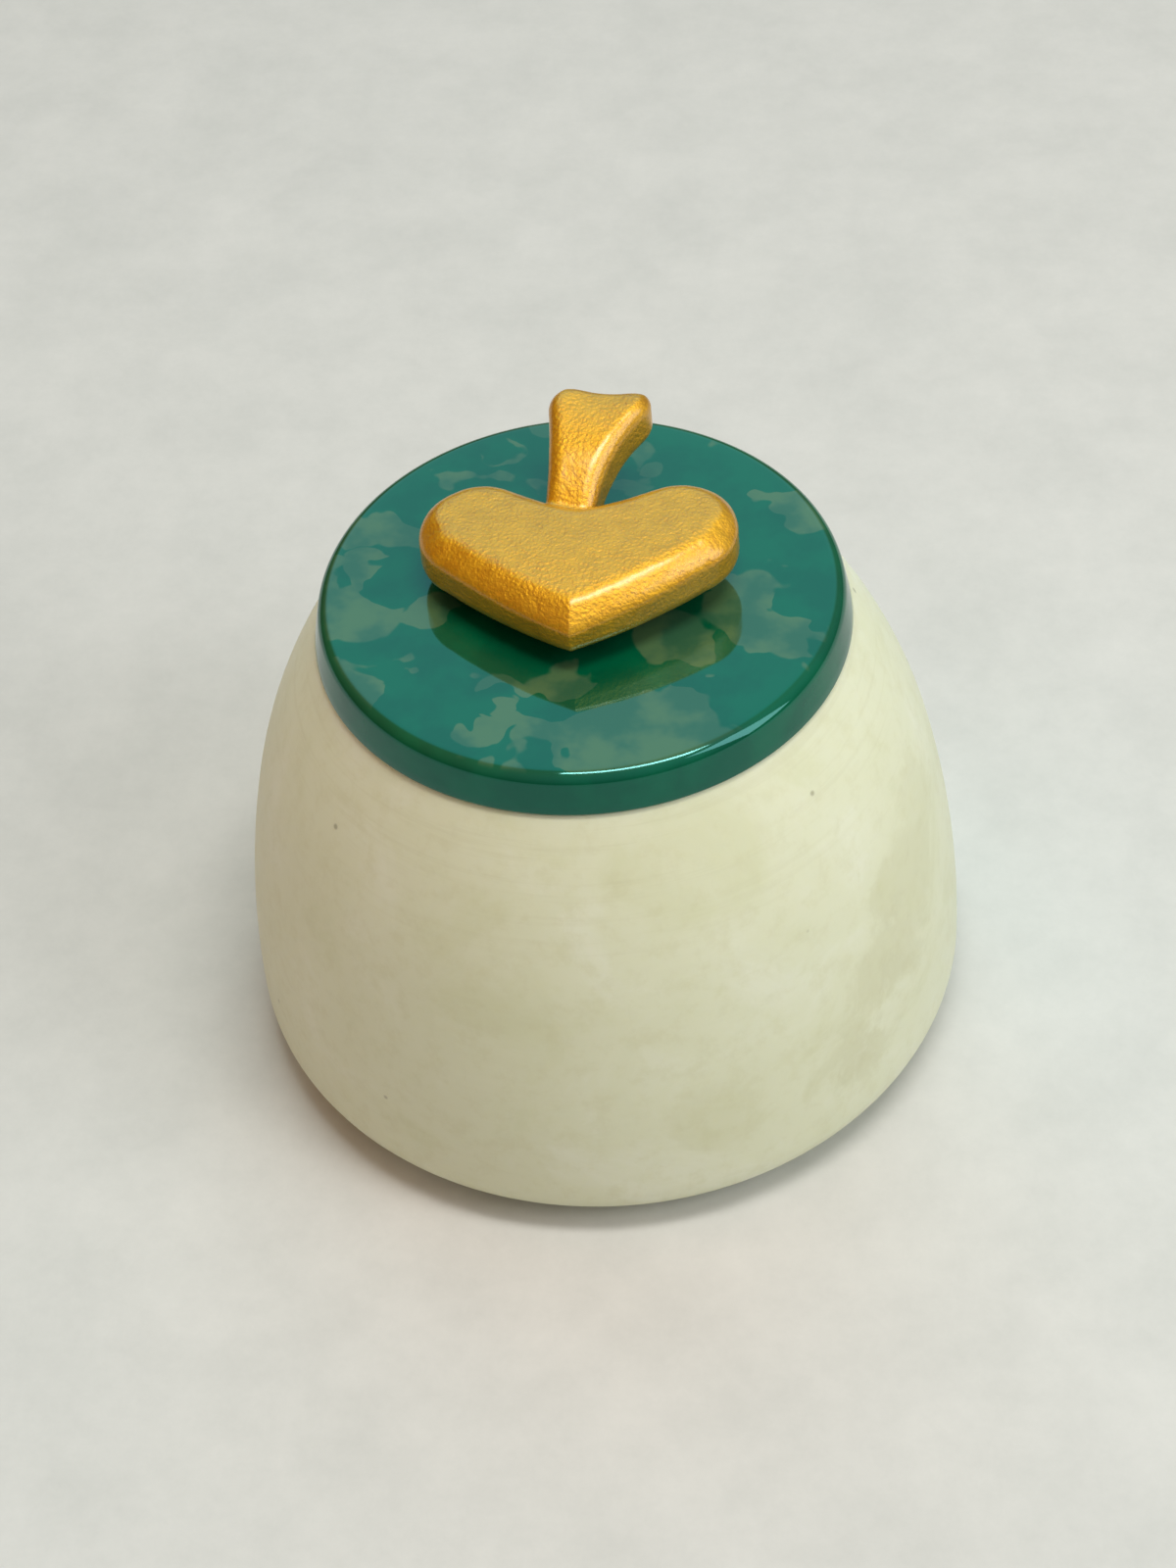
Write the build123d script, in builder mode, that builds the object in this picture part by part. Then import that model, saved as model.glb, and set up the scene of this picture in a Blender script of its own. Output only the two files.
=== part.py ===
"""Round turned-stone trinket box with a green resin lid and a gilded heart-and-tail knob.

Millimetres, +Z up. The origin is the centre of the base pad's underside, which rests on the table.
The heart's tip points to -Y and its tail to +Y. The lid lifts straight up along +Z.
"""
import os

from build123d import *

os.makedirs("parts", exist_ok=True)

# ---- driving dimensions -------------------------------------------------------------------------

# stone body, turned on a lathe
body_height = 55.3
belly_radius = 40.9
base_lift = 0.5
base_edge_radius = 6.5
shoulder_start = (38.0, 33.4)
rim_radius = 28.8
rim_round = 0.5

# hollow inside the body
mouth_radius = 24.0
mouth_depth = 6.8
cavity_radius = 35.0
cavity_widest_height = 22.0
cavity_floor_height = 6.0
cavity_corner_radius = 7.0

# felt pieces
base_pad_radius = 29.0
base_pad_thickness = 1.2
base_recess_gap = 0.4
liner_radius = 27.0
liner_thickness = 1.5

# lid disc and the plug glued under it
lid_gap = 0.1
lid_bottom_radius = 29.2
lid_side_radius = 28.2
lid_thickness = 4.9
lid_edge_round = 1.6
lid_under_round = 0.3
plug_clearance = 0.3
plug_thickness = 5.0
plug_chamfer = 0.8

# screw and washer that hold the knob, M4 by 12
screw_radius = 2.0
screw_length = 12.0
screw_head_radius = 3.8
screw_head_height = 2.2
screw_head_round = 0.9
drive_slot_width = 1.0
drive_slot_length = 4.2
drive_slot_depth = 1.2
clearance_hole_radius = 2.2
thread_core_radius = 1.65
washer_radius = 5.0
washer_thickness = 0.8
counterbore_radius = 5.6

# heart of the knob, one casting with the tail and the post
heart_thickness = 6.7
heart_gap = 2.05
heart_tip_depth = 13.3
heart_side_end = (14.05, -4.45)
cleft_half_width = 5.6
cleft_height = 5.3
lobe_top = 7.8
cleft_round = 1.6
heart_edge_round = 2.7

# tail of the knob
tail_tilt = 15.0
tail_start = 1.0
tail_neck = 4.2
tail_end = 18.6
tail_notch = 0.6
tail_neck_half_width = 2.8
tail_end_half_width = 6.0
tail_thickness = 5.6
tail_edge_round = 1.9
tail_corner_round = 2.2

# post under the heart
post_radius = 4.2
post_foot_radius = 5.4
post_foot_height = 0.8
thread_depth = 5.0

# ---- heights that follow ------------------------------------------------------------------------

lid_underside = body_height + lid_gap
lid_top = lid_underside + lid_thickness
plug_underside = lid_underside - plug_thickness
counterbore_depth = screw_head_height + washer_thickness
washer_top = plug_underside + counterbore_depth
screw_seat = washer_top - washer_thickness
heart_underside = lid_top + heart_gap
heart_middle = heart_underside + heart_thickness / 2
plug_radius = mouth_radius - plug_clearance


# ---- stone body: thick walls, undercut hollow, recess for the pad -------------------------------

with BuildPart() as stone_body:
    with BuildSketch(Plane.XZ):
        with BuildLine():
            base = Line((0, base_lift), (belly_radius - base_edge_radius, base_lift))
            base_edge = TangentArc(
                base @ 1, (belly_radius, base_lift + base_edge_radius), tangent=base % 1
            )
            wall = TangentArc(base_edge @ 1, shoulder_start, tangent=base_edge % 1)
            shoulder = TangentArc(wall @ 1, (rim_radius, body_height), tangent=wall % 1)
            rim = Line(shoulder @ 1, (mouth_radius, body_height))
            mouth = Line(rim @ 1, (mouth_radius, body_height - mouth_depth))
            widest = (cavity_radius, cavity_widest_height)
            lower_wall = Line(widest, (cavity_radius, cavity_floor_height + cavity_corner_radius))
            under_shoulder = TangentArc(widest, mouth @ 1, tangent=(0, 1))
            corner_end = (cavity_radius - cavity_corner_radius, cavity_floor_height)
            corner = TangentArc(lower_wall @ 1, corner_end, tangent=(0, -1))
            floor = Line(corner @ 1, (0, cavity_floor_height))
            Line(floor @ 1, base @ 0)
        make_face()
    revolve(axis=Axis.Z)
    rim_edges = stone_body.edges().filter_by(GeomType.CIRCLE).group_by(Axis.Z)[-1]
    fillet(rim_edges, radius=rim_round)
    with BuildSketch(Plane.XY.offset(base_lift)):
        Circle(base_pad_radius + base_recess_gap)
    extrude(amount=base_pad_thickness - base_lift, mode=Mode.SUBTRACT)
stone_body.part.label = "stone_body"
export_step(stone_body.part, "parts/stone_body.step")


# ---- felt disc stuck in the base recess, which the box stands on --------------------------------

with BuildPart() as base_pad:
    Cylinder(base_pad_radius, base_pad_thickness, align=(Align.CENTER, Align.CENTER, Align.MIN))
base_pad.part.label = "base_pad"
export_step(base_pad.part, "parts/base_pad.step")


# ---- felt disc that lines the floor of the hollow -----------------------------------------------

with BuildPart() as felt_liner:
    with BuildSketch(Plane.XY.offset(cavity_floor_height)):
        Circle(liner_radius)
    extrude(amount=liner_thickness)
felt_liner.part.label = "felt_liner"
export_step(felt_liner.part, "parts/felt_liner.step")


# ---- lid disc: a polished plate with a rounded top edge -----------------------------------------

with BuildPart() as lid_disc:
    with BuildSketch(Plane.XZ):
        with BuildLine():
            Polyline(
                (clearance_hole_radius, lid_underside),
                (lid_bottom_radius, lid_underside),
                (lid_side_radius, lid_top),
                (clearance_hole_radius, lid_top),
                close=True,
            )
        make_face()
    revolve(axis=Axis.Z)
    outer_top = lid_disc.edges().group_by(Axis.Z)[-1].sort_by(SortBy.RADIUS)[-1]
    fillet(outer_top, radius=lid_edge_round)
    outer_bottom = lid_disc.edges().group_by(Axis.Z)[0].sort_by(SortBy.RADIUS)[-1]
    fillet(outer_bottom, radius=lid_under_round)
lid_disc.part.label = "lid_disc"
export_step(lid_disc.part, "parts/lid_disc.step")


# ---- plug under the disc: drops into the mouth and keeps the lid centred ------------------------

with BuildPart() as lid_plug:
    with BuildSketch(Plane.XY.offset(plug_underside)):
        Circle(plug_radius)
    extrude(amount=plug_thickness)
    lower_edge = lid_plug.edges().sort_by(Axis.Z)[0]
    chamfer(lower_edge, length=plug_chamfer)
    with Locations(Plane(origin=(0, 0, plug_underside), z_dir=(0, 0, -1))):
        CounterBoreHole(clearance_hole_radius, counterbore_radius, counterbore_depth)
lid_plug.part.label = "lid_plug"
export_step(lid_plug.part, "parts/lid_plug.step")


# ---- washer under the screw head ----------------------------------------------------------------

with BuildPart() as knob_washer:
    with BuildSketch(Plane.XY.offset(screw_seat)):
        Circle(washer_radius)
        Circle(clearance_hole_radius, mode=Mode.SUBTRACT)
    extrude(amount=washer_thickness)
knob_washer.part.label = "knob_washer"
export_step(knob_washer.part, "parts/knob_washer.step")


# ---- pan-head screw, driven from inside the lid up into the post --------------------------------

with BuildPart() as knob_screw:
    with BuildSketch(Plane.XY.offset(screw_seat)):
        Circle(screw_head_radius)
    extrude(amount=-screw_head_height)
    head_rim = knob_screw.edges().sort_by(Axis.Z)[0]
    fillet(head_rim, radius=screw_head_round)
    with BuildSketch(Plane.XY.offset(screw_seat)):
        Circle(screw_radius)
    extrude(amount=screw_length)
    shank_end = knob_screw.edges().sort_by(Axis.Z)[-1]
    chamfer(shank_end, length=0.4)
    with BuildSketch(Plane.XY.offset(screw_seat - screw_head_height)):
        Rectangle(drive_slot_length, drive_slot_width)
        Rectangle(drive_slot_width, drive_slot_length)
    extrude(amount=drive_slot_depth, mode=Mode.SUBTRACT)
knob_screw.part.label = "knob_screw"
export_step(knob_screw.part, "parts/knob_screw.step")


# ---- tail of the knob: a rising stem that flares to a notched end -------------------------------

tail_plane = Plane(origin=(0, 0, heart_middle)).rotated((tail_tilt, 0, 0))
tail_normal = Axis(tail_plane.origin, tail_plane.z_dir)
with BuildPart() as knob_tail:
    with BuildSketch(tail_plane):
        with BuildLine():
            stem_root = Line((0, tail_start), (tail_neck_half_width, tail_start))
            stem = Line(stem_root @ 1, (tail_neck_half_width, tail_neck))
            flare = TangentArc(stem @ 1, (tail_end_half_width, tail_end), tangent=stem % 1)
            Line(flare @ 1, (0, tail_end - tail_notch))
            mirror(about=Plane.YZ)
        make_face()
    extrude(amount=tail_thickness / 2, both=True)
    end_corners = knob_tail.edges().filter_by(tail_normal).sort_by(Axis.Y)[-2:]
    fillet(end_corners, radius=tail_corner_round)
    tail_faces = knob_tail.faces().filter_by(tail_normal)
    fillet(tail_faces.edges(), radius=tail_edge_round)


# ---- heart, post and tail: one gilded casting, tapped from below --------------------------------

with BuildPart() as knob:
    with BuildSketch(Plane.XY.offset(heart_underside)):
        with BuildLine():
            side = Line((0, -heart_tip_depth), heart_side_end)
            lobe = TangentArc(side @ 1, (cleft_half_width, cleft_height), tangent=side % 1)
            Line(lobe @ 1, (0, cleft_height))
            mirror(about=Plane.YZ)
        make_face()
    extrude(amount=heart_thickness)
    upright_edges = knob.edges().filter_by(Axis.Z).filter_by_position(Axis.Y, 0, lobe_top)
    fillet(upright_edges.filter_by(lambda edge: abs(edge.center().X) > 1), radius=cleft_round)
    outline_edges = knob.edges().group_by(Axis.Z)
    fillet(outline_edges[0] + outline_edges[-1], radius=heart_edge_round)
    add(knob_tail.part)
    with BuildSketch(Plane.XY.offset(lid_top)):
        Circle(post_foot_radius)
    extrude(amount=post_foot_height)
    with BuildSketch(Plane.XY.offset(lid_top)):
        Circle(post_radius)
    extrude(amount=heart_gap + heart_edge_round)
    with BuildSketch(Plane.XY.offset(lid_top)):
        Circle(thread_core_radius)
    extrude(amount=thread_depth, mode=Mode.SUBTRACT)
knob.part.label = "knob"
export_step(knob.part, "parts/knob.step")
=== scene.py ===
"""Looks of a round stone trinket box with a green polished lid and a gilded heart knob, in metres."""
from math import atan2, cos, hypot, pi, radians, sin, tan

import bmesh
import bpy
import numpy as np
import openvdb
from mathutils import Matrix, Vector, noise


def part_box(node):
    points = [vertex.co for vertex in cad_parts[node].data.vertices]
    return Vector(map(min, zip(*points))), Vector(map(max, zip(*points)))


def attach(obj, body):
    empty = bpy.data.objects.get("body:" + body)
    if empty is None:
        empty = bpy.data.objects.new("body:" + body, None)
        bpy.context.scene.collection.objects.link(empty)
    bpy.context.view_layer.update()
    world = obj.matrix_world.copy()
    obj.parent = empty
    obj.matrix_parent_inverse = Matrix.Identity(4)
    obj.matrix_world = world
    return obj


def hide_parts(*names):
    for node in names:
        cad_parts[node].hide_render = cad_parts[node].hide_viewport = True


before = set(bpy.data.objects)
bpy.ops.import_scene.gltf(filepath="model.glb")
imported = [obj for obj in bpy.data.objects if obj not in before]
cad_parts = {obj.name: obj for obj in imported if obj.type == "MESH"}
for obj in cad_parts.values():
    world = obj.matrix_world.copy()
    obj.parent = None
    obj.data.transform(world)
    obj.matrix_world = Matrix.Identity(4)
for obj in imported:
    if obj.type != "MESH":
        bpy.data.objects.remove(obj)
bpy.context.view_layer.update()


# ---- Camera -------------------------------------------------------------------------------------
# A short telephoto held over the table, looking down by about 46 degrees at the heart's tip side and
# a little from the right. It is tipped sideways by 5 degrees, as a phone in the hand is.

# Sizes are in millimetres, and MM turns them into metres. Only the table and the lamps are in metres.
MM = 0.001
camera_azimuth = radians(9.25)
camera_back, camera_height = 276.63 * MM, 318.70 * MM
camera_pitch, camera_yaw, camera_roll = radians(46.248), radians(-0.217), radians(-5.023)
heading = camera_yaw - camera_azimuth
forward = Vector((sin(heading) * cos(camera_pitch), cos(heading) * cos(camera_pitch), -sin(camera_pitch)))
level = Vector((cos(heading), -sin(heading), 0))
upward = level.cross(forward)
right = cos(camera_roll) * level + sin(camera_roll) * upward
top = cos(camera_roll) * upward - sin(camera_roll) * level
camera = bpy.data.objects.new("camera", bpy.data.cameras.new("camera"))
bpy.context.scene.collection.objects.link(camera)
camera.data.sensor_width, camera.data.lens = 36, 81
camera.data.clip_start = 0.01
turn = Matrix((right, top, -forward)).transposed()
place = Vector((sin(camera_azimuth) * camera_back, -cos(camera_azimuth) * camera_back, camera_height))
camera.matrix_world = Matrix.Translation(place) @ turn.to_4x4()
bpy.context.scene.camera = camera


# ---- Table and light ----------------------------------------------------------------------------
# A sheet of pale paper on a table, in a room with a bright ceiling, a warm wall on the left and a cool
# window high behind. A soft lamp overhead and a wide window on the right light the box itself.

def linear(hex_colour):
    """An sRGB hex colour as the linear RGBA that a socket wants."""
    channels = [int(hex_colour[i:i + 2], 16) / 255 for i in (1, 3, 5)]
    return [c / 12.92 if c <= 0.04045 else ((c + 0.055) / 1.055) ** 2.4 for c in channels] + [1]


def add(tree, kind, inputs=None, stops=(), **settings):
    """Adds a node. inputs maps a socket's name or number to a value, to another node, whose first
    output in use is linked, or to an output. stops are a colour ramp's (place, hex colour) pairs."""
    made = tree.nodes.new(kind)
    for name, value in settings.items():
        setattr(made, name, value)
    for name, value in (inputs or {}).items():
        if isinstance(value, bpy.types.Node):
            value = next(output for output in value.outputs if output.enabled)
        if isinstance(value, bpy.types.NodeSocket):
            tree.links.new(value, made.inputs[name])
        else:
            made.inputs[name].default_value = value
    for count, (place, colour) in enumerate(stops):
        elements = made.color_ramp.elements
        stop = elements[count] if count < len(elements) else elements.new(place)
        stop.position, stop.color = place, linear(colour)
    return made


def material(name):
    """A new material, its tree and its Principled shader."""
    made = bpy.data.materials.new(name)
    made.use_nodes = True
    return made, made.node_tree, made.node_tree.nodes["Principled BSDF"]


def mesh_piece(name, points, faces, finish):
    """A smooth-shaded mesh object from points in metres, with its faces turned outwards."""
    mesh = bpy.data.meshes.new(name)
    mesh.from_pydata([tuple(p) for p in points], [], [tuple(f) for f in faces])
    shell = bmesh.new()
    shell.from_mesh(mesh)
    bmesh.ops.remove_doubles(shell, verts=shell.verts, dist=1e-7)
    bmesh.ops.recalc_face_normals(shell, faces=shell.faces)
    shell.to_mesh(mesh)
    shell.free()
    mesh.shade_smooth()
    mesh.materials.append(finish)
    made = bpy.data.objects.new(name, mesh)
    bpy.context.scene.collection.objects.link(made)
    return made


paper_size, paper_cloud = 2.4, 16.67

# Matt paper: faint clouds, some 17 mm across, give the eye a plain ground that is not quite even.
paper, tree, shader = material("matt_paper")
place = add(tree, "ShaderNodeTexCoord").outputs["Object"]
cloud = add(tree, "ShaderNodeTexNoise", {"Vector": place, "Scale": 1 / (paper_cloud * MM), "Detail": 8,
                                         "Roughness": 0.75})
tone = add(tree, "ShaderNodeValToRGB", {"Fac": cloud}, stops=((0.3, "#c9cac6"), (0.7, "#d6d6d2")))
tree.links.new(tone.outputs["Color"], shader.inputs["Base Color"])
shader.inputs["Roughness"].default_value = 0.8
corners = [(x * paper_size / 2, y * paper_size / 2, 0) for x, y in ((-1, -1), (1, -1), (1, 1), (-1, 1))]
table_top = mesh_piece("table_top", corners, [(0, 1, 2, 3)], paper)

# The room gives the polished lid and the gold something to mirror, and the shadows their warmth.
sky = bpy.data.worlds.new("room")
bpy.context.scene.world = sky
sky.use_nodes = True
tree = sky.node_tree
direction = add(tree, "ShaderNodeTexCoord").outputs["Generated"]
leftward = add(tree, "ShaderNodeVectorMath", {0: direction, 1: (-0.86, 0.42, 0.1)}, operation="DOT_PRODUCT")
warm_wall = add(tree, "ShaderNodeMapRange", {"Value": leftward, "From Min": -0.7, "From Max": 0.8},
                interpolation_type="SMOOTHSTEP")
behind = add(tree, "ShaderNodeVectorMath", {0: direction, 1: (-0.12, 0.70, 0.71)}, operation="DOT_PRODUCT")
cool_window = add(tree, "ShaderNodeMapRange", {"Value": behind, "From Min": 0.80, "From Max": 0.96},
                  interpolation_type="SMOOTHSTEP")
upward = add(tree, "ShaderNodeSeparateXYZ", {0: direction}).outputs["Z"]
ceiling = add(tree, "ShaderNodeMapRange", {"Value": upward, "From Max": 0.9, "To Min": 0.29, "To Max": 1.36})
walls = add(tree, "ShaderNodeValToRGB", {"Fac": warm_wall}, stops=((0, "#8b9296"), (1, "#8e6032")))
lit_walls = add(tree, "ShaderNodeVectorMath", {0: walls, "Scale": ceiling}, operation="SCALE")
room = add(tree, "ShaderNodeMix", {"Factor": cool_window, "A": lit_walls, "B": linear("#aadbe6")},
           data_type="RGBA")
tree.links.new(room.outputs[2], tree.nodes["Background"].inputs["Color"])
tree.nodes["Background"].inputs["Strength"].default_value = 1.6


def lamp(name, watts, wide, deep, position, aim, colour):
    """A soft rectangular lamp that shines along aim."""
    data = bpy.data.lights.new(name, "AREA")
    data.shape, data.size, data.size_y = "RECTANGLE", wide, deep
    data.energy, data.color = watts, linear(colour)[:3]
    made = bpy.data.objects.new(name, data)
    bpy.context.scene.collection.objects.link(made)
    turn = Vector((0, 0, -1)).rotation_difference(Vector(aim)).to_matrix()
    made.matrix_world = Matrix.Translation(position) @ turn.to_4x4()


lamp("ceiling_lamp", 4.1, 0.46, 0.16, (0.14, -0.09, 0.92), (-0.14, 0.09, -0.89), "#fffef8")
lamp("side_window", 3.7, 0.80, 0.42, (0.84, -0.25, 0.61), (-0.82, 0.24, -0.56), "#fbfdff")
bpy.context.scene.view_settings.view_transform = "Standard"


# ---- Stone body ---------------------------------------------------------------------------------
# Cream soapstone, turned hollow on a lathe, then honed and waxed outside: a soft satin sheen over
# cloudy mottling, with a few olive stains, dark specks, and turning lines under the lid and inside.

def arc_from(start, direction, end, steps):
    """Points of the arc that leaves start along direction and ends at end, without its start."""
    chord = (end[0] - start[0], end[1] - start[1])
    length = hypot(*direction)
    along = (direction[0] / length, direction[1] / length)
    side = (-along[1], along[0])
    offset = chord[0] * side[0] + chord[1] * side[1]
    radius = (chord[0] ** 2 + chord[1] ** 2) / (2 * offset)
    centre = (start[0] + side[0] * radius, start[1] + side[1] * radius)
    first = atan2(start[1] - centre[1], start[0] - centre[0])
    sweep = 2 * atan2(offset, chord[0] * along[0] + chord[1] * along[1])
    angles = [first + sweep * (i + 1) / steps for i in range(steps)]
    return [(centre[0] + abs(radius) * cos(a), centre[1] + abs(radius) * sin(a)) for a in angles]


def end_direction(points):
    """The direction in which a row of points ends."""
    return points[-1][0] - points[-2][0], points[-1][1] - points[-2][1]


def rounded(corner, before, after, radius, steps=6):
    """The points of a fillet at a corner of an outline."""
    a, c, b = Vector(before), Vector(corner), Vector(after)
    u, v = (a - c).normalized(), (b - c).normalized()
    reach = radius / tan(u.angle(v) / 2)
    return [tuple(c + u * reach)] + arc_from(tuple(c + u * reach), tuple(-u), tuple(c + v * reach), steps)


def line(start, end, step):
    """Points from start to end, no further apart than step, without the start."""
    count = max(1, round(hypot(end[0] - start[0], end[1] - start[1]) / step))
    return [tuple(Vector(start).lerp(Vector(end), (i + 1) / count)) for i in range(count)]


def turned(name, outline, finish, around=256, closed=False):
    """A lathe-turned piece. outline is (radius, height) points in millimetres. An open outline starts
    and ends on the axis, and a closed one is a ring's section."""
    rings, points, faces = [], [], []
    for radius, height in outline:
        if radius < 1e-6:
            rings.append([len(points)] * around)
            points.append((0, 0, height * MM))
            continue
        rings.append(list(range(len(points), len(points) + around)))
        angles = [2 * pi * i / around for i in range(around)]
        points += [(radius * cos(a) * MM, radius * sin(a) * MM, height * MM) for a in angles]
    pairs = list(zip(rings, rings[1:])) + ([(rings[-1], rings[0])] if closed else [])
    for low, high in pairs:
        for i in range(around):
            j = (i + 1) % around
            faces.append(list(dict.fromkeys((low[i], low[j], high[j], high[i]))))
    made = mesh_piece(name, points, faces, finish)
    made.data.set_sharp_from_angle(angle=radians(35))
    return made


low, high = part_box("stone_body")
base_lift, body_top, belly = low.z / MM, high.z / MM, high.x / MM
base_edge, shoulder_start, rim_radius, rim_round = 6.5, (38.0, 33.4), 28.8, 0.5
mouth_radius, mouth_depth, cavity_radius, cavity_widest = 24.0, 6.8, 35.0, 22.0
floor_height, floor_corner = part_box("felt_liner")[0].z / MM, 7.0
recess_radius, recess_top = 29.4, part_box("base_pad")[1].z / MM

outside = [(0, recess_top), *line((0, recess_top), (recess_radius, recess_top), 3)]
outside.append((recess_radius, base_lift))
outside += line(outside[-1], (belly - base_edge, base_lift), 1)
outside += arc_from(outside[-1], (1, 0), (belly, base_lift + base_edge), 14)
outside += arc_from(outside[-1], (0, 1), shoulder_start, 36)
outside += arc_from(outside[-1], end_direction(outside), (rim_radius, body_top), 34)
outside = outside[:-1] + rounded((rim_radius, body_top), outside[-2], (mouth_radius, body_top), rim_round)
outside += rounded((mouth_radius, body_top), outside[-1], (mouth_radius, 0), rim_round)
mouth_bottom = (mouth_radius, body_top - mouth_depth)
under_shoulder = arc_from((cavity_radius, cavity_widest), (0, 1), mouth_bottom, 30)[::-1]
inside = line(outside[-1], mouth_bottom, 1) + under_shoulder[1:] + [(cavity_radius, cavity_widest)]
inside += line(inside[-1], (cavity_radius, floor_height + floor_corner), 1)
inside += arc_from(inside[-1], (0, -1), (cavity_radius - floor_corner, floor_height), 12)
inside += line(inside[-1], (0, floor_height), 3)

stone_cloud, grit_size, pit_size, line_pitch, stain_wander = 14.286, 3.846, 1.111, 0.6, 36
# Each stain is where it lies, how far it reaches and how strong it is.
stains = (((35.1, -15.6, 31.0), 6.5, 0.35), ((33.9, -20.2, 24.5), 8.0, 0.35),
          ((31.1, -26.1, 15.0), 7.5, 0.28), ((14.5, -37.9, 16.3), 7.0, 0.12),
          ((36.2, -7.0, 38.8), 4.0, 0.16), ((-33.0, 22.0, 26.0), 9.0, 0.35))

# Waxed soapstone: soft clouds and a fine mottle give the eye a depth under the satin wax, the olive
# stains and dark specks make it a natural stone, and the faint lines show that it was turned.
stone, tree, shader = material("waxed_soapstone")
place = add(tree, "ShaderNodeTexCoord").outputs["Object"]
cloud = add(tree, "ShaderNodeTexNoise", {"Vector": place, "Scale": 1 / (stone_cloud * MM), "Detail": 6,
                                         "Roughness": 0.62, "Distortion": 0.5})
tone = add(tree, "ShaderNodeValToRGB", {"Fac": cloud},
           stops=((0.30, "#dbdcb8"), (0.50, "#e1e2c3"), (0.72, "#e7e8cf")))
tone.color_ramp.interpolation = "EASE"
for size, detail, coarseness, low, high, most, colour in ((38.46, 2, 0.5, 0.50, 0.80, 0.3, "#d8d6b0"),
                                                          (2.632, 4, 0.65, 0.45, 0.72, 0.35, "#d2d0a8")):
    patches = add(tree, "ShaderNodeTexNoise", {"Vector": place, "Scale": 1 / (size * MM), "Detail": detail,
                                               "Roughness": coarseness})
    share = add(tree, "ShaderNodeMapRange", {"Value": patches, "From Min": low, "From Max": high,
                                             "To Max": most}, interpolation_type="SMOOTHSTEP")
    tone = add(tree, "ShaderNodeMix", {"Factor": share, "A": tone, "B": linear(colour)}, data_type="RGBA")
centred = add(tree, "ShaderNodeMath", {0: cloud, 1: 0.5}, operation="SUBTRACT")
ragged = add(tree, "ShaderNodeMath", {0: centred, 1: stain_wander * MM}, operation="MULTIPLY")
stained = 0.0
for spot, reach, strength in stains:
    near = add(tree, "ShaderNodeVectorMath", {0: place, 1: [c * MM for c in spot]}, operation="DISTANCE")
    edge = add(tree, "ShaderNodeMath", {0: near, 1: ragged}, operation="ADD")
    fade = add(tree, "ShaderNodeMapRange", {"Value": edge, "From Min": 0.35 * reach * MM,
                                            "From Max": reach * MM, "To Min": strength, "To Max": 0},
               interpolation_type="SMOOTHSTEP")
    stained = add(tree, "ShaderNodeMath", {0: fade, 1: stained}, operation="MAXIMUM")
uneven = add(tree, "ShaderNodeMapRange", {"Value": cloud, "From Min": 0.35, "From Max": 0.6, "To Min": 0.35},
             interpolation_type="SMOOTHSTEP")
stained = add(tree, "ShaderNodeMath", {0: stained, 1: uneven}, operation="MULTIPLY")
tone = add(tree, "ShaderNodeMix", {"Factor": stained, "A": tone, "B": linear("#b3ad7c")}, data_type="RGBA")
grit = add(tree, "ShaderNodeTexVoronoi", {"Vector": place, "Scale": 1 / (grit_size * MM)})
chosen = add(tree, "ShaderNodeMath", {0: grit.outputs["Color"], 1: 0.78}, operation="GREATER_THAN")
dot = add(tree, "ShaderNodeMapRange", {"Value": grit, "From Min": 0.05, "From Max": 0.12, "To Min": 0.55,
                                       "To Max": 0}, interpolation_type="SMOOTHSTEP")
speck = add(tree, "ShaderNodeMath", {0: dot, 1: chosen}, operation="MULTIPLY")
tone = add(tree, "ShaderNodeMix", {"Factor": speck, "A": tone, "B": linear("#77704e")}, data_type="RGBA")
height = add(tree, "ShaderNodeSeparateXYZ", {0: place}).outputs["Z"]
facing = add(tree, "ShaderNodeNewGeometry").outputs["Normal"]
sideways = add(tree, "ShaderNodeVectorMath", {0: place, 1: (1, 1, 0)}, operation="MULTIPLY")
outward = add(tree, "ShaderNodeVectorMath", {0: sideways, 1: facing}, operation="DOT_PRODUCT")
hollow = add(tree, "ShaderNodeMath", {0: outward, 1: -0.002}, operation="LESS_THAN")
flat = add(tree, "ShaderNodeVectorMath", {0: place, 1: (0.04, 0.04, 1)}, operation="MULTIPLY")
lines = add(tree, "ShaderNodeTexNoise", {"Vector": flat, "Scale": 0.5 / (line_pitch * MM), "Detail": 6,
                                         "Roughness": 0.7})
near_rim = add(tree, "ShaderNodeMapRange", {"Value": height, "From Min": 34 * MM, "From Max": 54 * MM,
                                            "To Min": 0.12, "To Max": 0.75}, interpolation_type="SMOOTHSTEP")
left_lines = add(tree, "ShaderNodeMath", {0: near_rim, 1: hollow}, operation="MAXIMUM")
dark_lines = add(tree, "ShaderNodeMapRange", {"Value": lines, "From Min": 0.50, "From Max": 0.66,
                                              "To Max": 0.22}, interpolation_type="SMOOTHSTEP")
lined = add(tree, "ShaderNodeMath", {0: left_lines, 1: dark_lines}, operation="MULTIPLY")
tone = add(tree, "ShaderNodeMix", {"Factor": lined, "A": tone, "B": linear("#c2be94")}, data_type="RGBA")
tree.links.new(tone.outputs[2], shader.inputs["Base Color"])
cloudy = add(tree, "ShaderNodeMath", {0: cloud, 1: 0.16}, operation="MULTIPLY")
unwaxed = add(tree, "ShaderNodeMath", {0: hollow, 1: 0.25}, operation="MULTIPLY")
satin = add(tree, "ShaderNodeMath", {0: cloudy, 1: unwaxed}, operation="ADD")
satin = add(tree, "ShaderNodeMath", {0: satin, 1: 0.34}, operation="ADD")
tree.links.new(satin.outputs["Value"], shader.inputs["Roughness"])
shader.inputs["IOR"].default_value = 1.54
shader.inputs["Subsurface Weight"].default_value = 0.2
shader.inputs["Subsurface Radius"].default_value = (1.0, 0.85, 0.5)
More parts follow.
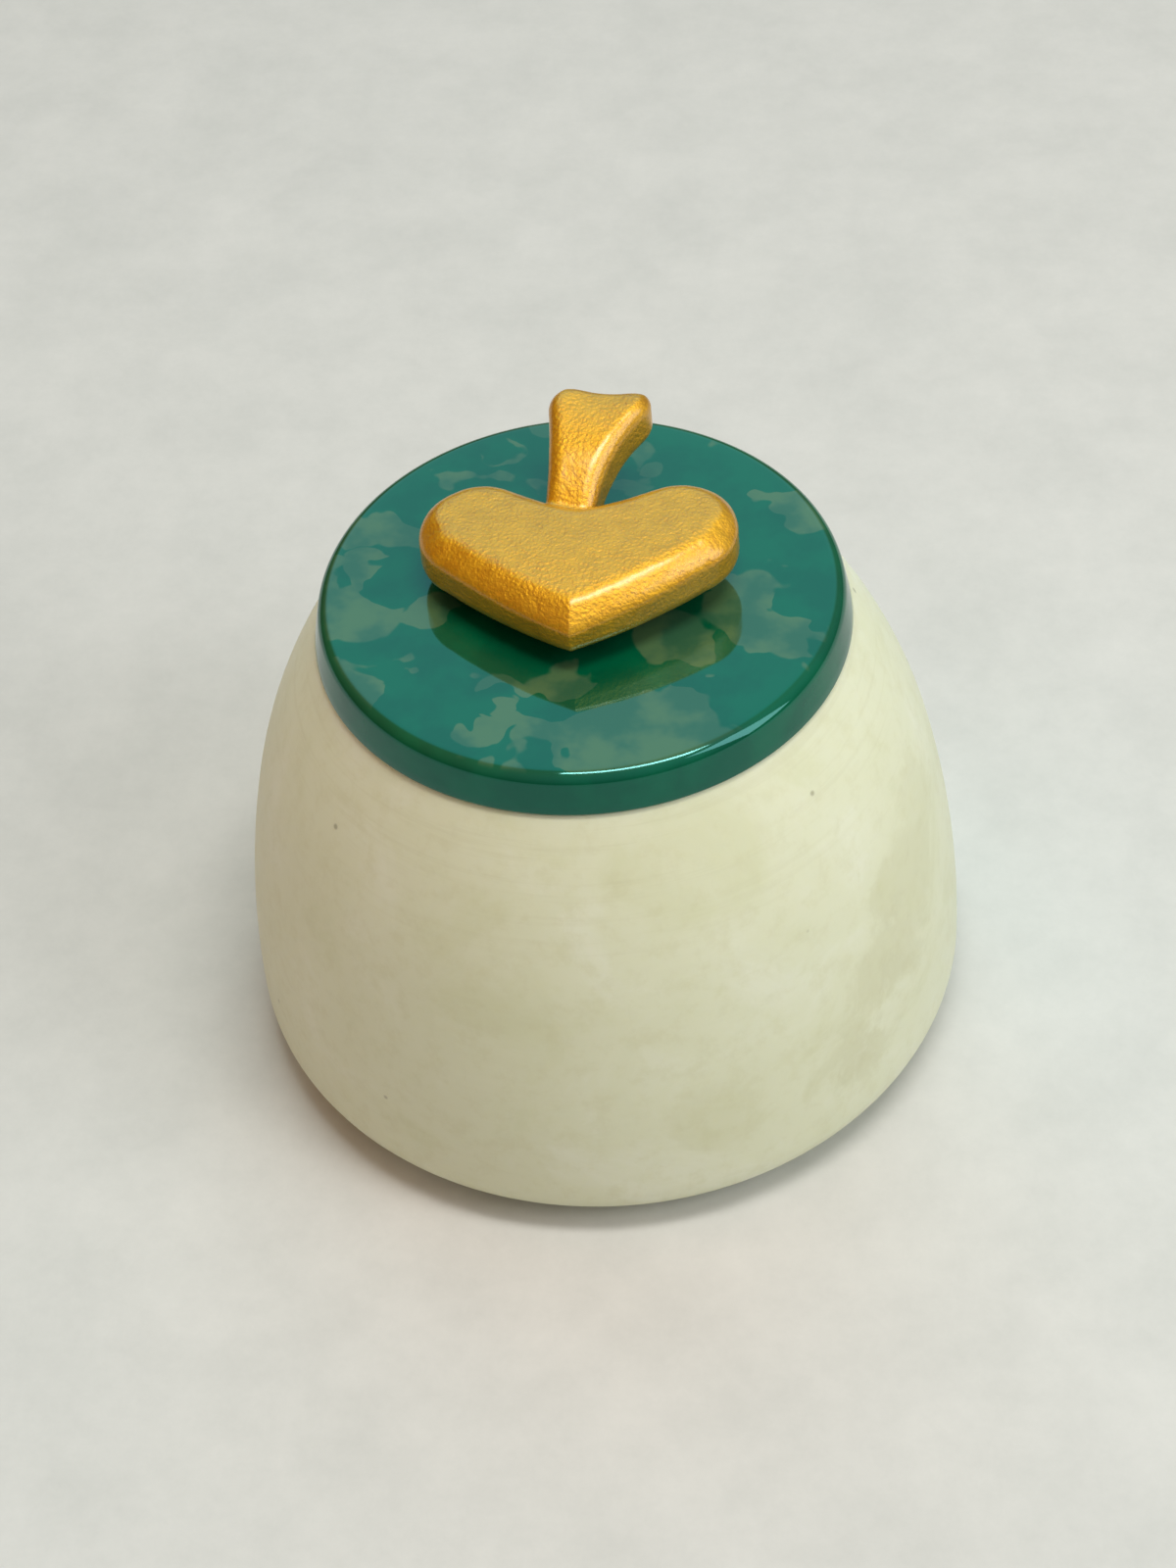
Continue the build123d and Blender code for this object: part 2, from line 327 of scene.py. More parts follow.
shader.inputs["Subsurface Scale"].default_value = 3 * MM
grooved = add(tree, "ShaderNodeMath", {0: lines, 1: left_lines}, operation="MULTIPLY")
cut = add(tree, "ShaderNodeBump", {"Height": grooved, "Strength": 0.35, "Distance": 0.12 * MM})
pits = add(tree, "ShaderNodeTexNoise", {"Vector": place, "Scale": 1 / (pit_size * MM), "Detail": 3})
honed = add(tree, "ShaderNodeBump", {"Height": pits, "Strength": 0.25, "Distance": 0.06 * MM, "Normal": cut})
tree.links.new(honed.outputs["Normal"], shader.inputs["Normal"])

stone_body = turned("turned_body", outside + inside, stone)
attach(stone_body, "box")
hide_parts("stone_body")


# ---- Felt pieces --------------------------------------------------------------------------------
# Two discs punched from pressed wool felt and stuck down: a deep green one that lines the floor of
# the hollow, and a charcoal one in the recess under the body. Loose fibres lie on their faces.

def felt(name, colour, dark, clump_size=2.381, tangle_size=0.6667):
    """Pressed wool: it gives the eye no gloss, only a clumpy tone and a faint sheen of fibre ends. Sizes
    are in millimetres, and the tangle is drawn coarser than wool's, which would be too fine to see."""
    made, tree, shader = material(name)
    place = add(tree, "ShaderNodeTexCoord").outputs["Object"]
    clump = add(tree, "ShaderNodeTexNoise", {"Vector": place, "Scale": 1 / (clump_size * MM), "Detail": 5,
                                             "Roughness": 0.7})
    tone = add(tree, "ShaderNodeValToRGB", {"Fac": clump}, stops=((0.3, dark), (0.7, colour)))
    tree.links.new(tone.outputs["Color"], shader.inputs["Base Color"])
    shader.inputs["Roughness"].default_value = 0.95
    shader.inputs["IOR"].default_value = 1.5
    shader.inputs["Sheen Weight"].default_value = 0.35
    shader.inputs["Sheen Roughness"].default_value = 0.5
    tangle = add(tree, "ShaderNodeTexNoise", {"Vector": place, "Scale": 1 / (tangle_size * MM), "Detail": 4,
                                              "Distortion": 1.5})
    bump = add(tree, "ShaderNodeBump", {"Height": tangle, "Strength": 0.6, "Distance": 0.2 * MM})
    tree.links.new(bump.outputs["Normal"], shader.inputs["Normal"])
    return made


def felt_disc(name, radius, low, high, finish):
    """A disc with a slightly soft edge, whose two faces rise and fall a little, in millimetres."""
    edge, step = (high - low) * 0.3, 1.2
    wave_scale, wave_height, fluff_scale, fluff_height = 260, 0.05, 1100, 0.04
    outline = [(0, low), *line((0, low), (radius - edge, low), step)]
    outline += arc_from(outline[-1], (1, 0), (radius, low + edge), 4)
    outline += line(outline[-1], (radius, high - edge), 0.4)
    outline += arc_from(outline[-1], (0, 1), (radius - edge, high), 4)
    outline += line(outline[-1], (0, high), step)
    made = turned(name, outline, finish, around=160)
    for vertex in made.data.vertices:
        wave, fluff = noise.noise(vertex.co * wave_scale), noise.noise(vertex.co * fluff_scale)
        vertex.co.z += (wave * wave_height + fluff * fluff_height) * MM
    return made


def fibre_tree(finish):
    """Geometry nodes that strew bowed fibres over the faces of a felt disc that look one way."""
    tree = bpy.data.node_groups.new("felt_fibres", "GeometryNodeTree")
    tree.interface.new_socket("Felt", in_out="INPUT", socket_type="NodeSocketGeometry")
    for name in ("Fibres per square metre", "Length", "Thickness", "Facing"):
        tree.interface.new_socket(name, in_out="INPUT", socket_type="NodeSocketFloat")
    tree.interface.new_socket("Seed", in_out="INPUT", socket_type="NodeSocketInt")
    tree.interface.new_socket("Fibres", in_out="OUTPUT", socket_type="NodeSocketGeometry")
    given = add(tree, "NodeGroupInput").outputs
    level, bow, tilt = 0.8, 0.45, 0.02
    normal = add(tree, "ShaderNodeSeparateXYZ", {0: add(tree, "GeometryNodeInputNormal")}).outputs["Z"]
    facing = add(tree, "ShaderNodeMath", {0: normal, 1: given["Facing"]}, operation="MULTIPLY")
    flat = add(tree, "ShaderNodeMath", {0: facing, 1: level}, operation="GREATER_THAN")
    strewn = add(tree, "GeometryNodeDistributePointsOnFaces",
                 {"Mesh": given["Felt"], "Selection": flat, "Density": given["Fibres per square metre"],
                  "Seed": given["Seed"]})
    left, right, rise = (add(tree, "ShaderNodeMath", {0: given["Length"], 1: part}, operation="MULTIPLY")
                         for part in (-0.5, 0.5, bow))
    strand = add(tree, "GeometryNodeCurveQuadraticBezier",
                 {"Resolution": 4, "Start": add(tree, "ShaderNodeCombineXYZ", {"X": left}),
                  "Middle": add(tree, "ShaderNodeCombineXYZ", {"Y": rise}),
                  "End": add(tree, "ShaderNodeCombineXYZ", {"X": right})})
    half = add(tree, "ShaderNodeMath", {0: given["Thickness"], 1: 0.5}, operation="MULTIPLY")
    section = add(tree, "GeometryNodeCurvePrimitiveCircle", {"Resolution": 3, "Radius": half})
    fibre = add(tree, "GeometryNodeCurveToMesh", {"Curve": strand, "Profile Curve": section})
    turn = add(tree, "FunctionNodeRandomValue", {0: (-tilt, -tilt, 0), 1: (tilt, tilt, 2 * pi),
                                                 "Seed": given["Seed"]}, data_type="FLOAT_VECTOR")
    size = add(tree, "FunctionNodeRandomValue", {2: 0.6, 3: 1.3, "Seed": given["Seed"]})
    laid = add(tree, "GeometryNodeInstanceOnPoints",
               {"Points": strewn, "Instance": fibre, "Rotation": turn, "Scale": size})
    real = add(tree, "GeometryNodeRealizeInstances", {"Geometry": laid})
    coloured = add(tree, "GeometryNodeSetMaterial", {"Geometry": real, "Material": finish})
    add(tree, "NodeGroupOutput", {"Fibres": coloured})
    return tree


def grown(name, host, tree, **values):
    """What a geometry tree makes from a host's mesh, as a plain piece of its own."""
    modifier = host.modifiers.new(tree.name, "NODES")
    modifier.node_group = tree
    for socket in tree.interface.items_tree:
        key = socket.name.lower().replace(" ", "_")
        if socket.in_out == "INPUT" and key in values:
            modifier[socket.identifier] = values[key]
    shown = host.evaluated_get(bpy.context.evaluated_depsgraph_get())
    made = bpy.data.objects.new(name, bpy.data.meshes.new_from_object(shown))
    host.modifiers.remove(modifier)
    made.data.shade_smooth()
    bpy.context.scene.collection.objects.link(made)
    return made


for node, slot, above, colour, dark, seed in (("felt_liner", "liner_felt", 1.0, "#2c5f48", "#1b4433", 4),
                                              ("base_pad", "base_felt", -1.0, "#545854", "#3a3d3a", 9)):
    low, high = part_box(node)
    fibre_room, side_room = 0.12, 0.1
    wool = felt(node + "_wool", colour, dark)
    foot, face = low.z / MM, high.z / MM
    foot, face = (foot, face - fibre_room) if above > 0 else (foot + fibre_room, face)
    disc = felt_disc(node + "_disc", high.x / MM - side_room, foot, face, wool)
    nap = grown(node + "_nap", disc, fibre_tree(wool), fibres_per_square_metre=1.7e6, length=0.0021,
                thickness=0.00007, facing=above, seed=seed)
    for piece in (disc, nap):
        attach(piece, "box")
    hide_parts(node)


# ---- Lid disc -----------------------------------------------------------------------------------
# A plate of dyed green serpentine, sawn, rounded over at its top edge and polished to a mirror gloss.
# Flakes of a greyer green, sharp at their borders, show through the polish on the front half.

low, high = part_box("lid_disc")
lid_under, lid_top = low.z / MM, high.z / MM
lid_foot, lid_shoulder, hole, edge_round, under_round = 29.2, 28.2, 2.2, 1.6, 0.3
taper_left, taper_end = 0.3, 1.5
# Each patch is its place on the lid, x and y, and its reach: flakes are likely there, or unlikely.
flake_patches = ((-23.1, -4.9, 4.4), (-15.4, -4.6, 2.8), (-24.3, 3.3, 2.5), (-0.6, -18.1, 4.7),
                 (7.5, -21.6, 5.8), (15.3, -18.0, 5.0), (17.3, -2.2, 4.0), (23.2, -6.5, 3.5),
                 (-7.2, -15.6, 2.4), (10.1, -7.0, 3.8), (5.8, 18.9, 1.8), (-10.8, 21.3, 1.8),
                 (3.9, -24.4, 2.6), (18.7, 1.4, 2.4), (-8.5, -21.5, 3.0))
clear_patches = ((15.7, -7.1, 1.8), (6.8, -14.2, 1.9), (12.5, -12.0, 1.6), (-6.3, -16.9, 1.4),
                 (-1.6, -18.4, 1.2), (-11.9, -9.6, 3.8), (23.4, -1.4, 2.6), (20.0, -15.0, 1.7),
                 (-19.7, -2.7, 1.8), (-15.2, -18.1, 4.7), (12.2, 16.8, 4.9), (-16.9, 9.6, 4.1))
clear_bias, flake_bias, flake_wander = 0.07, 0.16, 18
flake_size, tone_size, ripple_size = 7.692, 5.882, 11.11

# Polished serpentine: the sharp-edged flakes and the slow drift of the green give the eye a cut stone
# under glass-like polish, whose faint ripple keeps the mirrored room from being too perfect.
green, tree, shader = material("polished_serpentine")
place = add(tree, "ShaderNodeTexCoord").outputs["Object"]
moved = add(tree, "ShaderNodeMapping", {"Vector": place, "Location": (0.31, 0.12, 0.0)})
flakes = add(tree, "ShaderNodeTexNoise", {"Vector": moved, "Scale": 1 / (flake_size * MM), "Detail": 2.5,
                                          "Roughness": 0.5, "Distortion": 0.25})
likely = add(tree, "ShaderNodeMath", {0: flakes, 1: clear_bias}, operation="SUBTRACT")
centred = add(tree, "ShaderNodeMath", {0: flakes, 1: 0.5}, operation="SUBTRACT")
wander = add(tree, "ShaderNodeMath", {0: centred, 1: flake_wander * MM}, operation="MULTIPLY")
for patches, push in ((flake_patches, flake_bias), (clear_patches, -flake_bias)):
    for x, y, reach in patches:
        near = add(tree, "ShaderNodeVectorMath", {0: place, 1: (x * MM, y * MM, lid_top * MM)},
                   operation="DISTANCE")
        edge = add(tree, "ShaderNodeMath", {0: near, 1: wander}, operation="ADD")
        pull = add(tree, "ShaderNodeMapRange", {"Value": edge, "From Min": 0.6 * reach * MM,
                                                "From Max": 1.5 * reach * MM, "To Min": push, "To Max": 0},
                   interpolation_type="SMOOTHSTEP")
        likely = add(tree, "ShaderNodeMath", {0: likely, 1: pull}, operation="ADD")
axis = add(tree, "ShaderNodeVectorMath", {0: place, 1: (0, 0, lid_top * MM)}, operation="DISTANCE")
rim = add(tree, "ShaderNodeMapRange", {"Value": axis, "From Min": 27.1 * MM, "From Max": 27.9 * MM,
                                       "To Min": 1, "To Max": 0}, interpolation_type="SMOOTHSTEP")
drift = add(tree, "ShaderNodeTexNoise", {"Vector": moved, "Scale": 1 / (tone_size * MM), "Detail": 3})
depth = add(tree, "ShaderNodeMapRange", {"Value": drift, "From Min": 0.38, "From Max": 0.55, "To Min": 0.65},
            interpolation_type="SMOOTHSTEP")
sharp = add(tree, "ShaderNodeMapRange", {"Value": likely, "From Min": 0.500, "From Max": 0.525},
            interpolation_type="SMOOTHSTEP")
inner = add(tree, "ShaderNodeMath", {0: sharp, 1: rim}, operation="MULTIPLY")
flake = add(tree, "ShaderNodeMath", {0: inner, 1: depth}, operation="MULTIPLY")
grey_green = add(tree, "ShaderNodeValToRGB", {"Fac": drift}, stops=((0.40, "#395b41"), (0.62, "#496743")))
deep = add(tree, "ShaderNodeValToRGB", {"Fac": drift}, stops=((0.35, "#004a2f"), (0.65, "#005536")))
grey_green.color_ramp.interpolation = "EASE"
deep.color_ramp.interpolation = "EASE"
tone = add(tree, "ShaderNodeMix", {"Factor": flake, "A": deep, "B": grey_green}, data_type="RGBA")
tree.links.new(tone.outputs[2], shader.inputs["Base Color"])
shader.inputs["Roughness"].default_value = 0.05
shader.inputs["IOR"].default_value = 1.55
shader.inputs["Specular IOR Level"].default_value = 0.68
shader.inputs["Specular Tint"].default_value = linear("#a4ffff")
ripple = add(tree, "ShaderNodeTexNoise", {"Vector": place, "Scale": 1 / (ripple_size * MM), "Detail": 1})
polish = add(tree, "ShaderNodeBump", {"Height": ripple, "Strength": 0.15, "Distance": 0.1 * MM})
tree.links.new(polish.outputs["Normal"], shader.inputs["Normal"])
section = rounded((lid_foot, lid_under), (hole, lid_under), (lid_shoulder, lid_top), under_round, 4)
section += line(section[-1], (lid_shoulder + taper_left, lid_top - taper_end), 1)[:-1]
section += rounded((lid_shoulder, lid_top), (lid_foot, lid_under), (hole, lid_top), edge_round, 12)
section += line(section[-1], (hole, lid_top), 2) + [(hole, lid_under)]
section += line((hole, lid_under), section[0], 2)[:-1]
lid_disc = turned("lid_plate", section, green, closed=True)
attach(lid_disc, "lid")
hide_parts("lid_disc")


# ---- Lid plug -----------------------------------------------------------------------------------
# A disc of the body's cream stone, glued under the plate so that it drops into the mouth. It is left
# as the tool cut it, with fine grooves round its face, and counterbored for the screw and washer.

low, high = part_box("lid_plug")
plug_under, plug_top, plug_radius = low.z / MM, high.z / MM, high.x / MM
plug_chamfer, counterbore, counterbore_depth, groove_pitch, groove_depth = 0.8, 5.6, 3.0, 0.7, 0.05
cloud_size, dust_size, edge_break, groove_margin = 12.5, 0.625, 0.15, 0.3

# Soapstone as the tool left it: the same clouds as the body, but a dusty, dry surface with no wax.
matt, tree, shader = material("tool_cut_soapstone")
place = add(tree, "ShaderNodeTexCoord").outputs["Object"]
cloud = add(tree, "ShaderNodeTexNoise", {"Vector": place, "Scale": 1 / (cloud_size * MM), "Detail": 6,
                                         "Roughness": 0.6})
tone = add(tree, "ShaderNodeValToRGB", {"Fac": cloud}, stops=((0.3, "#cfcca6"), (0.7, "#dfdcbf")))
tone.color_ramp.interpolation = "EASE"
tree.links.new(tone.outputs["Color"], shader.inputs["Base Color"])
shader.inputs["Roughness"].default_value = 0.62
shader.inputs["IOR"].default_value = 1.54
dust = add(tree, "ShaderNodeTexNoise", {"Vector": place, "Scale": 1 / (dust_size * MM), "Detail": 4})
bump = add(tree, "ShaderNodeBump", {"Height": dust, "Strength": 0.5, "Distance": 0.1 * MM})
tree.links.new(bump.outputs["Normal"], shader.inputs["Normal"])
last_groove = (plug_radius - plug_chamfer - groove_margin, plug_under)
grooves = line((counterbore + groove_margin, plug_under), last_groove, groove_pitch / 2)
section = [(hole, plug_top), (hole, plug_under + counterbore_depth)]
section += line(section[-1], (counterbore, plug_under + counterbore_depth), 1)
section += [(counterbore, plug_under + edge_break), (counterbore + edge_break, plug_under)]
section += [(r, z + (groove_depth if i % 2 else 0)) for i, (r, z) in enumerate(grooves)]
section += [(plug_radius - plug_chamfer, plug_under), (plug_radius, plug_under + plug_chamfer)]
section += line(section[-1], (plug_radius, plug_top), 1)
section += line((plug_radius, plug_top), (hole, plug_top), 3)[:-1]
lid_plug = turned("lid_plug_disc", section, matt, closed=True)
lid_plug.data.set_sharp_from_angle(angle=radians(50))
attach(lid_plug, "lid")
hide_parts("lid_plug")


# ---- Washer -------------------------------------------------------------------------------------
# A brass washer, stamped from sheet: its upper edges rolled over by the punch and its lower ones
# sharp, bright, with the fine random scratches that tumbling leaves.

low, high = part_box("knob_washer")
washer_under, washer_top, washer_radius = low.z / MM, high.z / MM, high.x / MM
roll, burr, tarnish_size, scratch_size = 0.22, 0.04, 1.667, 0.3846

# Tumbled brass: a warm, patchy gleam whose fine scratches break up every highlight. Real scratches are
# a few hundredths of a millimetre wide, and they are drawn coarser here.
brass, tree, shader = material("tumbled_brass")
place = add(tree, "ShaderNodeTexCoord").outputs["Object"]
tarnish = add(tree, "ShaderNodeTexNoise", {"Vector": place, "Scale": 1 / (tarnish_size * MM), "Detail": 4})
tone = add(tree, "ShaderNodeValToRGB", {"Fac": tarnish}, stops=((0.3, "#d3ab5c"), (0.7, "#e6c77f")))
tree.links.new(tone.outputs["Color"], shader.inputs["Base Color"])
shader.inputs["Metallic"].default_value = 1
dull = add(tree, "ShaderNodeMapRange", {"Value": tarnish, "From Min": 0.2, "From Max": 0.8, "To Min": 0.22,
                                        "To Max": 0.4}, interpolation_type="SMOOTHSTEP")
tree.links.new(dull.outputs["Result"], shader.inputs["Roughness"])
scratch = add(tree, "ShaderNodeTexNoise", {"Vector": place, "Scale": 1 / (scratch_size * MM), "Detail": 2,
                                           "Distortion": 3})
bump = add(tree, "ShaderNodeBump", {"Height": scratch, "Strength": 0.2, "Distance": 0.04 * MM})
tree.links.new(bump.outputs["Normal"], shader.inputs["Normal"])
section = rounded((washer_radius, washer_under), (hole, washer_under), (washer_radius, washer_top), roll, 5)
section += rounded((washer_radius, washer_top), (washer_radius, washer_under), (hole, washer_top), burr, 2)
section += line(section[-1], (hole, washer_top), 1)
section += rounded((hole, washer_under), (hole, washer_top), (washer_radius, washer_under), roll, 5)
section += line(section[-1], section[0], 1)[:-1]
washer = turned("stamped_washer", section, brass, around=96, closed=True)
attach(washer, "lid")
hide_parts("knob_washer")


# ---- Screw --------------------------------------------------------------------------------------
# A zinc-plated steel M4 pan-head screw, 12 mm long, driven up through the washer into the knob. Its
# head and shank are one turned blank, the cross is punched in, and the thread is rolled on.

low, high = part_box("knob_screw")
screw_under, screw_end, head_radius = low.z / MM, high.z / MM, high.x / MM
head_height, head_round, shank_radius, core_radius, thread_pitch = 2.2, 0.9, 2.0, 1.6, 0.7
slot_length, slot_width, slot_depth = 4.2, 1.0, 1.2
edge_break, neck_fillet, point_length, point_taper, thread_gap, thread_short = 0.1, 0.2, 0.5, 0.4, 0.3, 0.9
plating_size = 1.429

# Bright zinc plating: a cool metal with patches that are a little duller, as a plated screw has.
zinc, tree, shader = material("zinc_plated_steel")
place = add(tree, "ShaderNodeTexCoord").outputs["Object"]
plating = add(tree, "ShaderNodeTexNoise", {"Vector": place, "Scale": 1 / (plating_size * MM), "Detail": 3})
tone = add(tree, "ShaderNodeValToRGB", {"Fac": plating}, stops=((0.3, "#c9cbce"), (0.7, "#dadcdf")))
tree.links.new(tone.outputs["Color"], shader.inputs["Base Color"])
shader.inputs["Metallic"].default_value = 1
dull = add(tree, "ShaderNodeMapRange", {"Value": plating, "From Min": 0.2, "From Max": 0.8, "To Min": 0.24,
                                        "To Max": 0.4}, interpolation_type="SMOOTHSTEP")
tree.links.new(dull.outputs["Result"], shader.inputs["Roughness"])


def thread_tree(finish):
    """Geometry nodes that wind a ridge of the thread's section round the shank."""
    tree = bpy.data.node_groups.new("rolled_thread", "GeometryNodeTree")
    tree.interface.new_socket("Blank", in_out="INPUT", socket_type="NodeSocketGeometry")
    for name in ("Turns", "Radius", "Height", "Start", "Ridge"):
        tree.interface.new_socket(name, in_out="INPUT", socket_type="NodeSocketFloat")
    tree.interface.new_socket("Screw", in_out="OUTPUT", socket_type="NodeSocketGeometry")
    given = add(tree, "NodeGroupInput").outputs
    helix = add(tree, "GeometryNodeCurveSpiral",
                {"Resolution": 40, "Rotations": given["Turns"], "Start Radius": given["Radius"],
                 "End Radius": given["Radius"], "Height": given["Height"]})
    ridge = add(tree, "GeometryNodeCurvePrimitiveCircle", {"Resolution": 4, "Radius": given["Ridge"]})
    wound = add(tree, "GeometryNodeCurveToMesh", {"Curve": helix, "Profile Curve": ridge, "Fill Caps": True})
    start = add(tree, "ShaderNodeCombineXYZ", {"Z": given["Start"]})
    placed = add(tree, "GeometryNodeSetPosition", {"Geometry": wound, "Offset": start})
    joined = add(tree, "GeometryNodeJoinGeometry", {"Geometry": placed})
    tree.links.new(given["Blank"], joined.inputs["Geometry"])
    real = add(tree, "GeometryNodeRealizeInstances", {"Geometry": joined})
    coloured = add(tree, "GeometryNodeSetMaterial", {"Geometry": real, "Material": finish})
    add(tree, "NodeGroupOutput", {"Screw": coloured})
    return tree


head_top = screw_under + head_height
outline = [(0, screw_under), *line((0, screw_under), (head_radius - head_round, screw_under), 0.5)]
outline += arc_from(outline[-1], (1, 0), (head_radius, screw_under + head_round), 8)
outline += [(head_radius, head_top - edge_break), (head_radius - edge_break, head_top)]
outline += [(core_radius + neck_fillet, head_top), (core_radius, head_top + neck_fillet)]
outline += [(core_radius, screw_end - point_length), (core_radius - point_taper, screw_end), (0, screw_end)]
blank = turned("screw_blank", outline, zinc, around=64)
for span_x, span_y in ((slot_length, slot_width), (slot_width, slot_length)):
    punch = bmesh.new()
    bmesh.ops.create_cube(punch, size=1)
    punch_size = Matrix.Diagonal((span_x * MM, span_y * MM, 2 * slot_depth * MM, 1))
    punch_place = Matrix.Translation((0, 0, screw_under * MM))
    bmesh.ops.transform(punch, matrix=punch_place @ punch_size, verts=punch.verts)
    cutter = bpy.data.objects.new("punch", bpy.data.meshes.new("punch"))
    punch.to_mesh(cutter.data)
    punch.free()
    bpy.context.scene.collection.objects.link(cutter)
    cut = blank.modifiers.new("cross", "BOOLEAN")
    cut.object, cut.operation, cut.solver = cutter, "DIFFERENCE", "EXACT"
    struck = bpy.data.meshes.new_from_object(blank.evaluated_get(bpy.context.evaluated_depsgraph_get()))
    blank.modifiers.remove(cut)
    blank.data = struck
    bpy.data.objects.remove(cutter)
thread_length = screw_end - head_top - thread_short
screw = grown("pan_head_screw", blank, thread_tree(zinc), turns=thread_length / thread_pitch,
              radius=core_radius * MM, height=thread_length * MM, start=(head_top + thread_gap) * MM,
              ridge=(shank_radius - core_radius) * MM)
bpy.data.objects.remove(blank)
screw.data.set_sharp_from_angle(angle=radians(35))
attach(screw, "lid")
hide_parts("knob_screw")


# ---- Knob ---------------------------------------------------------------------------------------
# One brass casting, gilded: a wide low heart on a short tapped post, with a stem that rises behind
# it and flares to a saddle-shaped end. The sand of the mould left a fine pebbled skin.

knob_voxel = 0.17
heart_middle, heart_half, heart_edge, heart_under_edge = 5.4, 3.34, 2.4, 2.0
bevel_run, bevel_drop, bevel_fade, tip_fall = 2.3, 1.7, (1.0, 7.0), 1.2
heart_tip, heart_tip_aside, heart_shift, heart_tilt = -12.5, 0.5, -0.8, radians(2.3)
lobe_x, lobe_y, lobe_radius, side_bulge = 10.6, 2.15, 6.5, 0.6
cleft_y, cleft_leave = 5.0, radians(118)
stem_neck, stem_neck_x, stem_neck_y, stem_turn, stem_bend = 2.75, -1.3, 5.0, radians(4.5), 1.9
stem_end, stem_length, stem_half, stem_edge, stem_slope = 6.9, 14.8, 2.75, 1.6, radians(20)
stem_flare, stem_ease, stem_root, saddle_part = 2.0, 2.0, 1, 0.62
stem_root_drop, stem_end_rise, stem_notch, stem_corner, stem_dish = 1.3, 4.3, 0.25, 3.6, 0.5
post_radius, foot_radius, foot_height, bore_radius, bore_depth = 4.2, 5.4, 0.8, 1.65, 5.0
pebble_size, pebble_depth, swell_size, swell_depth = 0.7, 0.012, 3.0, 0.05
bevel_blend, stem_blend, foot_blend, post_blend = 0.7, 0.8, 0.6, 0.9
gilt_patch, sand_grain = 2, 0.4


def half_heart(tip_x):
    """The right half of the heart from above: a swelling side, a round lobe, and a slope to the cleft."""
    reach = hypot(lobe_x - tip_x, lobe_y - heart_tip)
    angle = atan2(lobe_y - heart_tip, lobe_x - tip_x) - np.arcsin(lobe_radius / reach)
    run = (reach ** 2 - lobe_radius ** 2) ** 0.5
    t = np.linspace(0, 1, 16)
    swell = side_bulge * 4 * t * (1 - t)
    side = np.stack([tip_x + run * t * cos(angle) + swell * sin(angle),
                     heart_tip + run * t * sin(angle) - swell * cos(angle)], -1)
    first = atan2(side[-1, 1] - lobe_y, side[-1, 0] - lobe_x)
    turn = np.linspace(first, cleft_leave, 30)[1:]
    lobe = np.stack([lobe_x + lobe_radius * np.cos(turn), lobe_y + lobe_radius * np.sin(turn)], -1)
    end, u = lobe[-1], np.linspace(0, 1, 12)[1:, None]
    run_down = (end[1] - cleft_y) / cos(pi - cleft_leave)
    bend = np.array([end[0] - run_down * sin(cleft_leave), cleft_y])
    cleft = end * (1 - u) ** 2 + bend * 2 * u * (1 - u) + np.array([0, cleft_y]) * u ** 2
    return np.concatenate([side, lobe, cleft])


def inside_distance(x, y, outline):
    """How far each point lies outside a closed outline, in plan: negative inside it."""
    nearest, winding = np.full(x.shape, 1e9), np.zeros(x.shape, int)
    for (ax, ay), (bx, by) in zip(outline, np.roll(outline, -1, 0)):
        dx, dy = bx - ax, by - ay
        t = np.clip(((x - ax) * dx + (y - ay) * dy) / (dx * dx + dy * dy), 0, 1)
        nearest = np.minimum(nearest, (x - ax - t * dx) ** 2 + (y - ay - t * dy) ** 2)
        left = dx * (y - ay) - dy * (x - ax)
        winding += ((ay <= y) & (by > y) & (left > 0)).astype(int) - ((ay > y) & (by <= y) & (left < 0))
    return np.where(winding != 0, -1, 1) * np.sqrt(nearest)


def cushion(side, height, half, edge, under_edge):
    """Distance to a plate of that half thickness whose upper and lower edges are rounded."""
    edge = np.where(height > 0, edge, under_edge)
    out, over = side + edge, abs(height) - half + edge
    return np.minimum(np.maximum(out, over), 0) + np.hypot(np.maximum(out, 0), np.maximum(over, 0)) - edge


def soft_join(a, b, reach):
    """The union of two distances with a fillet between them."""
    mix = np.clip(0.5 + 0.5 * (b - a) / reach, 0, 1)
    return b * (1 - mix) + a * mix - reach * mix * (1 - mix)


def stem_distance(x, y, z):
    """Distance to the stem. It leaves the heart turned a little aside, rises and flares."""
    across = (x - stem_neck_x) * cos(stem_turn) - (y - stem_neck_y) * sin(stem_turn)
    along = (x - stem_neck_x) * sin(stem_turn) + (y - stem_neck_y) * cos(stem_turn)
    part = np.clip(along / stem_length, 0, 1)
    across = across - stem_bend * part ** 2
    width = stem_neck + (stem_end - stem_neck) * part ** stem_flare
    spread = stem_flare * (stem_end - stem_neck) * part ** (stem_flare - 1) / stem_length
    saddle = 1 - np.clip(abs(across) / (stem_end * saddle_part), 0, 1) ** 2
    flank = (abs(across) - width) / np.hypot(1, spread) + stem_corner
    tip = along - stem_length + stem_notch * saddle + stem_corner
    beyond = np.hypot(np.maximum(flank, 0), np.maximum(tip, 0))
    plan = np.minimum(np.maximum(flank, tip), 0) + beyond - stem_corner
    plan = np.maximum(plan, stem_root - y)
    middle = heart_middle - stem_root_drop + (stem_root_drop + stem_end_rise) * (1 - (1 - part) ** stem_ease)
    height = (z - middle[..., None]) * cos(stem_slope)
    height = height + np.where(height > 0, (stem_dish * saddle * part ** 2)[..., None], 0)
    return cushion(plan[..., None], height, stem_half, stem_edge, stem_edge)


